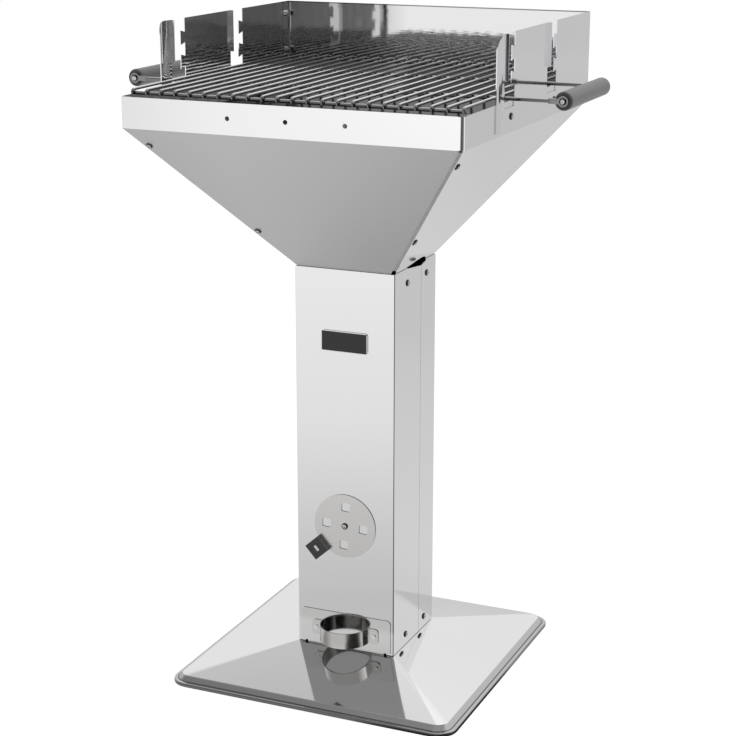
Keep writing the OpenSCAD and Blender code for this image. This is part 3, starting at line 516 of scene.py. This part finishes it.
def makeScrews(name, body, replaced, s):
    # Pan-head screws with a cross recess, one for each of the CAD screws of a body
    seats, axes, lengths = zip(*(place for node in replaced for place in screwPlaces(node)))
    seed = bpy.data.meshes.new(name)
    seed.from_pydata(seats, [], [])
    directions = [c for axis in axes for c in axis]
    seed.attributes.new("axis", "FLOAT_VECTOR", "POINT").data.foreach_set("vector", directions)
    seed.attributes.new("length", "FLOAT", "POINT").data.foreach_set("value", lengths)
    tree, t, given = newTree("panHeadScrews", s)
    blank = t.add("GeometryNodeMeshCylinder", {
        "Vertices": given["headSides"], "Side Segments": 1, "Fill Segments": given["headRings"],
        "Radius": given["headRadius"], "Depth": given["edgeHeight"]}).outputs["Mesh"]
    edgeMiddle = t.maths("MULTIPLY", given["edgeHeight"], 0.5)
    lifted = t.add("GeometryNodeTransform", {0: blank, "Translation": t.joined(z=edgeMiddle)}).outputs[0]
    at = t.split(t.add("GeometryNodeInputPosition").outputs[0])
    squares = t.maths("ADD", t.maths("POWER", at["X"], 2.0), t.maths("POWER", at["Y"], 2.0))
    reach = t.maths("DIVIDE", t.maths("POWER", squares, 0.5), given["headRadius"])
    fall = t.maths("SUBTRACT", 1.0, t.maths("POWER", reach, given["domePower"]))
    crown = t.add("GeometryNodeSetPosition", {
        0: lifted, "Selection": t.maths("GREATER_THAN", at["Z"], edgeMiddle),
        "Offset": t.joined(z=t.maths("MULTIPLY", given["domeHeight"], fall))}).outputs[0]
    crown = t.add("GeometryNodeStoreNamedAttribute", {0: crown, "Name": "reach", "Value": reach}).outputs[0]
    top = t.joined(z=t.maths("ADD", given["edgeHeight"], given["domeHeight"]))
    deep = t.maths("MULTIPLY", given["recessDepth"], 2.0)
    for wide, narrow in (("recessLength", "recessWidth"), ("recessWidth", "recessLength")):
        size = t.joined(given[wide], given[narrow], deep)
        box = t.add("GeometryNodeMeshCube", {"Size": size}).outputs["Mesh"]
        bar = t.add("GeometryNodeTransform", {0: box, "Translation": top}).outputs[0]
        crown = t.add("GeometryNodeMeshBoolean", {"Mesh 1": crown, "Mesh 2": bar},
                      operation="DIFFERENCE").outputs[0]
    axis = t.add("GeometryNodeInputNamedAttribute", {"Name": "axis"}, data_type="FLOAT_VECTOR").outputs[0]
    turn = t.add("FunctionNodeAlignRotationToVector", {"Vector": axis}, axis="Z").outputs[0]
    heads = t.add("GeometryNodeInstanceOnPoints", {"Points": given["Geometry"], "Instance": crown,
                                                   "Rotation": turn}).outputs[0]
    shank = t.add("GeometryNodeMeshCylinder", {"Vertices": given["shankSides"], "Radius": given["shankRadius"],
                                               "Depth": 1.0}).outputs["Mesh"]
    lowered = t.add("GeometryNodeTransform", {0: shank, "Translation": (0.0, 0.0, -0.5)}).outputs[0]
    length = t.add("GeometryNodeInputNamedAttribute", {"Name": "length"}, data_type="FLOAT").outputs[0]
    shanks = t.add("GeometryNodeInstanceOnPoints", {"Points": given["Geometry"], "Instance": lowered,
                                                    "Rotation": turn, "Scale": t.joined(1.0, 1.0, length)})
    both = t.add("GeometryNodeJoinGeometry", {0: heads})
    tree.links.new(shanks.outputs[0], both.inputs[0])
    finishTree(t, both.outputs[0], zinc)
    growPiece(name, seed, tree, s, body, replaced, crease=38)


makeGrateRods(grateRods)
makeScrews("frameScrews", "frame", frameScrewNodes, screwHeads)
makeScrews("gripScrews", "cooking_grate", ["grip_screws"], screwHeads)

# The floor's ramps run with the distance from its middle, the sky's from straight down to straight up
studio = {
    "floorSize": 16.0,
    "floorDrop": 0.0005,
    "floorShade": 0.8,
    "cameraWhite": 1.16,
    "shadowShare": 0.16,
    "realShare": 0.15,
    "floorTurn": (-0.5, 0.5),
    "floorFront": [(0.0, 0.62), (0.042, 0.62), (0.051, 0.68), (0.113, 0.88), (0.16, 0.99), (0.306, 1.09),
                   (0.72, 1.24)],
    "floorBack": [(0.0, 0.85), (0.042, 0.82), (0.142, 0.77), (0.2, 0.74), (0.235, 0.7), (0.78, 0.69),
                  (1.0, 0.74)],
    "skyTurn": (-0.3, 0.3),
    "skyFront": [(0.0, 1.0), (0.5, 1.0), (0.56, 0.8), (0.62, 0.45), (0.7, 0.3), (0.86, 0.33), (0.9, 0.5),
                 (0.95, 0.5), (1.0, 0.3)],
    "skyBack": [(0.0, 0.7), (0.5, 0.66), (0.53, 0.7), (0.57, 0.85), (0.61, 0.92), (0.75, 0.93), (0.8, 0.8),
                (0.85, 0.62), (0.9, 0.35), (1.0, 0.2)],
    "rightTurn": (-0.385, -0.355),
    "skyBackRight": [(0.0, 0.7), (0.5, 0.66), (0.53, 0.7), (0.57, 0.85), (0.61, 0.92), (0.75, 0.93),
                     (0.83, 1.1), (0.88, 1.0), (0.93, 0.35), (1.0, 0.2)],
    "darkSide": (0.85, -0.53, 0.0),
    "darkSideShade": [(0.0, 1.0), (0.75, 1.0), (0.83, 0.3), (0.92, 0.05), (1.0, 0.04)],
}
keyLamp = {"place": (-2.2, -1.6, 3.6), "target": (0, 0, 0.5), "size": 1.6, "power": 24}


def darkSided(t, tone, way, s):
    # Darkens the tone in directions close to the dark side
    side = t.add("ShaderNodeVectorMath", {0: way, 1: s["darkSide"]}, operation="DOT_PRODUCT").outputs["Value"]
    return t.tinted(tone, t.ramp(side, s["darkSideShade"]))


def makeFloor(s):
    # White to the camera with a faint shadow; metal sees its tones change with the distance and at the right
    half = s["floorSize"] / 2
    mesh = bpy.data.meshes.new("studioFloor")
    corners = [(-half, -half, 0), (half, -half, 0), (half, half, 0), (-half, half, 0)]
    mesh.from_pydata(corners, [], [(0, 1, 2, 3)])
    floor = bpy.data.objects.new("studioFloor", mesh)
    floor.location.z = -s["floorDrop"]
    bpy.context.scene.collection.objects.link(floor)
    material, t = newMaterial("studioFloor")
    place = t.objectPlace()
    distance = t.add("ShaderNodeVectorMath", {0: place}, operation="LENGTH").outputs["Value"]
    far = t.maths("DIVIDE", distance, half, clamp=True)
    behind = t.spread(t.split(place)["Y"], *s["floorTurn"])
    tone = t.mix(behind, t.ramp(far, s["floorFront"]), t.ramp(far, s["floorBack"]))
    tone = darkSided(t, tone, t.add("ShaderNodeVectorMath", {0: place}, operation="NORMALIZE").outputs[0], s)
    path = t.add("ShaderNodeLightPath")
    lit = t.add("ShaderNodeBsdfDiffuse", {"Color": (s["floorShade"],) * 3 + (1,)}).outputs[0]
    white = t.add("ShaderNodeEmission", {"Color": (1, 1, 1, 1), "Strength": s["cameraWhite"]}).outputs[0]
    toned = t.add("ShaderNodeEmission", {"Color": tone, "Strength": 1.0}).outputs[0]
    toCamera = t.add("ShaderNodeMixShader", {0: 1 - s["shadowShare"], 1: lit, 2: white}).outputs[0]
    toMetal = t.add("ShaderNodeMixShader", {0: 1 - s["realShare"], 1: lit, 2: toned}).outputs[0]
    mirrored = t.maths("MAXIMUM", path.outputs["Is Glossy Ray"], path.outputs["Is Transmission Ray"])
    toRest = t.add("ShaderNodeMixShader", {0: mirrored, 1: lit, 2: toMetal}).outputs[0]
    seen = t.add("ShaderNodeMixShader", {0: path.outputs["Is Camera Ray"], 1: toRest, 2: toCamera}).outputs[0]
    finishMaterial(t, seen)
    mesh.materials.append(material)


def makeWorld(s):
    # Bright low down, darker above and to the right; plain white where the camera looks past the grill
    world = bpy.data.worlds.new("studioWorld")
    bpy.context.scene.world = world
    world.use_nodes = True
    t = Tree(world.node_tree)
    way = t.add("ShaderNodeTexCoord").outputs["Generated"]
    towards = t.split(way)
    height = t.spread(towards["Z"], -1.0, 1.0)
    back = t.mix(t.spread(towards["X"], *s["rightTurn"]), t.ramp(height, s["skyBack"]),
                 t.ramp(height, s["skyBackRight"]))
    tone = t.mix(t.spread(towards["Y"], *s["skyTurn"]), t.ramp(height, s["skyFront"]), back)
    light = t.add("ShaderNodeBackground", {"Color": darkSided(t, tone, way, s), "Strength": 1.0}).outputs[0]
    white = t.add("ShaderNodeBackground", {"Color": (1, 1, 1, 1), "Strength": 1.0}).outputs[0]
    seen = t.add("ShaderNodeLightPath").outputs["Is Camera Ray"]
    mixed = t.add("ShaderNodeMixShader", {0: seen, 1: light, 2: white})
    t.add("ShaderNodeOutputWorld", {"Surface": mixed.outputs[0]})


def makeLamp(name, s):
    data = bpy.data.lights.new(name, "AREA")
    data.shape, data.size, data.energy = "SQUARE", s["size"], s["power"]
    lamp = bpy.data.objects.new(name, data)
    lamp.visible_glossy = False
    lamp.location = s["place"]
    lamp.rotation_mode = "QUATERNION"
    lamp.rotation_quaternion = (Vector(s["target"]) - Vector(s["place"])).to_track_quat("-Z", "Y")
    bpy.context.scene.collection.objects.link(lamp)


makeFloor(studio)
makeWorld(studio)
makeLamp("keyLamp", keyLamp)
bpy.context.scene.view_settings.view_transform = "Standard"
print("studio set")
